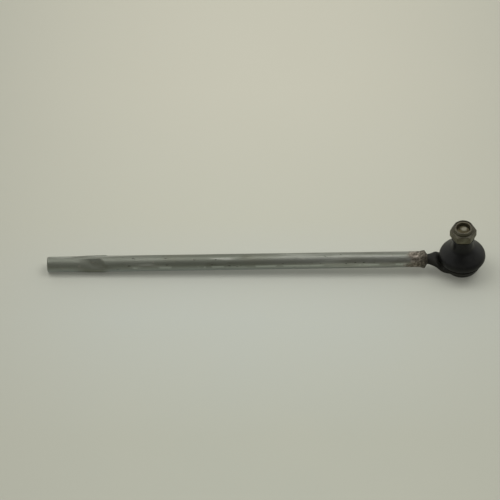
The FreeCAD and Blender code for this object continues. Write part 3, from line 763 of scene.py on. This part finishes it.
def make_stud():
    """The ball stud: ball, neck, taper and thread. The thread is a triangle wave along the stud that turns by
    one pitch per turn, faded out at the run-out and left off the chamfered end."""
    sweep = np.linspace(math.asin(-BALL_FLAT / BALL_RADIUS), math.acos(STUD_NECK / BALL_RADIUS), 48)
    ball = np.stack([BALL_RADIUS * np.cos(sweep), BALL_RADIUS * np.sin(sweep)], axis=-1)
    flat = np.stack([np.linspace(0.4, ball[0, 0] - 0.2, 10), np.full(10, -BALL_FLAT)], axis=-1)
    shank = round_corners([(STUD_NECK, ball[-1, 1] + 0.1, 0), (STUD_NECK, STUD_NECK_TOP, 2.0),
                           (TAPER_LOW_RADIUS, TAPER_LOW, 0.6), (TAPER_HIGH_RADIUS, TAPER_HIGH, 0.3),
                           (STUD_THREAD_RADIUS, STUD_THREAD_FOOT - 0.2, 0)], closed=False)
    heights = np.arange(STUD_THREAD_FOOT, STUD_END - 1.0, THREAD_PITCH / 12.0)
    threaded = np.stack([np.full_like(heights, STUD_THREAD_RADIUS), heights], axis=-1)
    end = round_corners([(STUD_THREAD_RADIUS - 0.1, STUD_END - 0.95, 0),
                         (STUD_THREAD_RADIUS - 0.9, STUD_END - 0.3, 0.3),
                         (4.3, STUD_END, 0.6), (0.3, STUD_END, 0)], closed=False, step=0.3)
    line = np.vstack([flat, ball, shank, threaded, end])
    radius = spread(line[:, 0], AROUND)
    height = spread(line[:, 1], AROUND)
    turn = height / THREAD_PITCH - angles() / (2.0 * math.pi)
    wave = np.abs(2.0 * (turn - np.floor(turn)) - 1.0)
    on_thread = (radius > STUD_THREAD_RADIUS - 0.05) & (height > STUD_THREAD_FOOT - 0.1)
    run_out = smooth_step(height, STUD_THREAD_FOOT, STUD_THREAD_FOOT + THREAD_PITCH)
    verts, faces = turned(radius - THREAD_DEPTH * wave * run_out * on_thread, height, False)
    piece = new_piece("stud_steel_piece", verts, faces, STUD_FINISH)
    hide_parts("ball_stud")
    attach(piece, "stud")


def make_ring(name, middle, height, node, body):
    """A wire ring: a circle of the wire's radius w round the boot, r = m + w cos b, z = h + w sin b."""
    section = np.linspace(0.0, 2.0 * math.pi, 24, endpoint=False)
    wire = RING_WIRE - 0.02
    verts, faces = turned(middle + wire * np.cos(section), height + wire * np.sin(section), True)
    piece = new_piece(name, verts, faces, RING_FINISH)
    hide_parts(node)
    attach(piece, body)


def dress_node(node, finish):
    """Give a CAD node that keeps its own shape a finish."""
    target = frame["nodes"][node]
    if not target.material_slots:
        target.data.materials.append(finish)
    for holder in target.material_slots:
        holder.material = finish


make_tube()
make_weld()
make_housing()
make_boot()
make_nut()
make_insert()
make_stud()
make_ring("lower_wire", BEAD_RADIUS + RING_WIRE, 1.65, "boot_lower_ring", "rod")
make_ring("upper_wire", BOOT_NECK_RADIUS + RING_WIRE, BOOT_TOP - 1.6, "boot_upper_ring", "boot_collar")
for node, finish in (("upper_bearing", BEARING_FINISH), ("lower_bearing", BEARING_FINISH),
                     ("disc_spring", SPRING_FINISH), ("cover_plate", COVER_FINISH)):
    dress_node(node, finish)


# Floor, light and camera. Sizes are in metres

def make_floor():
    """A pale seamless floor: one large plane whose colour is written as it should look, with painted light and
    shade in it. A ramp of the place from near to far paints the fall of the light, darker near the camera, and
    a cool stretch before the rod paints the tint of the rod's shadow; a faint warm cloud lies over it, and a
    painted shade grows with the square of the distance to either side. A weak glow shows only to the camera
    and in reflections."""
    half = 30.0
    near, far = -0.22, 0.26
    side_shade_reach, side_shade_share = 0.25, 0.55
    glow = 0.2
    mesh = bpy.data.meshes.new("floor")
    mesh.from_pydata([(-half, -half, 0), (half, -half, 0), (half, half, 0), (-half, half, 0)], [],
                     [(0, 1, 2, 3)])
    floor = bpy.data.objects.new("floor", mesh)
    bpy.context.scene.collection.objects.link(floor)
    finish = Finish("floor_paper")
    # Painted light and shade: darker towards the camera and lighter far off as the light falls, with a cool
    # stretch before the rod for the tint of its shadow
    depth = finish.fade(finish.coordinate("Y"), near, far)
    paper_and_shade = finish.ramp(depth, [(0.0, linear(176, 178, 165)), (0.32, linear(182, 186, 178)),
                                (0.46, linear(184, 186, 177)), (0.6, linear(187, 187, 173)),
                                (1.0, linear(194, 192, 177))])
    paper_and_shade = finish.mix(finish.times(finish.noise(9.0, 2.0), 0.3), paper_and_shade, linear(188, 186, 169))
    # Painted shade: darker towards both sides, growing with the square of the distance
    aside = finish.number("ABSOLUTE", finish.number("DIVIDE", finish.coordinate("X"), side_shade_reach))
    side = finish.number("MINIMUM", finish.times(finish.number("POWER", aside, 2.0), side_shade_share), 1.0)
    paper_and_shade = finish.mix(side, paper_and_shade, linear(171, 171, 158))
    rays = finish.node("ShaderNodeLightPath")
    seen = finish.number("MAXIMUM", rays.outputs["Is Camera Ray"], rays.outputs["Is Glossy Ray"])
    finish.shade(Base_Color=paper_and_shade, Emission_Color=paper_and_shade, Emission_Strength=finish.times(seen, glow),
                 Roughness=0.75, Specular_IOR_Level=0.2)
    mesh.materials.append(finish.material)


def make_lamp(name, place, target, size, power):
    """A rectangular soft lamp at a place, turned to a target, with its power in watts."""
    light = bpy.data.lights.new(name, "AREA")
    light.shape = "RECTANGLE"
    light.size, light.size_y = size
    light.energy = power
    lamp = bpy.data.objects.new(name, light)
    bpy.context.scene.collection.objects.link(lamp)
    lamp.location = place
    lamp.rotation_euler = (Vector(target) - Vector(place)).to_track_quat("-Z", "Y").to_euler()


def make_world():
    """A room whose light depends on the direction: it rises softly from the side behind the camera to the far
    side, and X squared times a share is added towards both ends."""
    world = bpy.data.worlds.new("room")
    world.use_nodes = True
    room = Nodes(world.node_tree, "Generated")
    far_side = room.node("ShaderNodeMapRange", Value=room.coordinate("Y"),
                         From_Min=-0.1, From_Max=0.5, To_Min=0.19, To_Max=0.68)
    far_side.interpolation_type = "SMOOTHSTEP"
    ends = room.number("POWER", room.coordinate("X"), 2.0)
    strength = room.number("MULTIPLY_ADD", ends, 0.22, far_side.outputs["Result"])
    background = world.node_tree.nodes["Background"]
    background.inputs["Color"].default_value = (1.0, 1.0, 0.95, 1.0)
    room.feed(strength, background.inputs["Strength"])
    bpy.context.scene.world = world


def make_camera():
    """The camera looks down on the rod along +Y. Its distance sets one millimetre to one pixel of 500."""
    elevation = math.radians(47.0)
    azimuth = math.radians(-0.3)
    distance = 3.4
    to_rod = 3.372
    across_at_rod = 0.5
    target = Vector((-0.0160, 0.0261, 0.0))
    camera = bpy.data.cameras.new("camera")
    camera.sensor_width = 36.0
    camera.lens = camera.sensor_width * to_rod / across_at_rod
    camera.clip_start = 0.1
    camera.clip_end = 100.0
    view = bpy.data.objects.new("camera", camera)
    bpy.context.scene.collection.objects.link(view)
    back = Vector((math.sin(azimuth) * math.cos(elevation), -math.cos(azimuth) * math.cos(elevation),
                   math.sin(elevation)))
    view.location = target + back * distance
    view.rotation_euler = (-back).to_track_quat("-Z", "Y").to_euler()
    bpy.context.scene.camera = view


make_floor()
make_lamp("back_strip", (0.0, 0.75, 2.4), (0.0, 0.0, 0.0), (3.0, 0.8), 7.6)
make_lamp("left_top", (-1.0, 0.25, 1.9), (-0.1, 0.0, 0.0), (1.3, 1.0), 9.4)
make_lamp("right_top", (0.95, 0.05, 1.8), (0.1, 0.0, 0.0), (1.2, 0.9), 8.2)
make_world()
make_camera()
bpy.context.scene.view_settings.view_transform = "Standard"
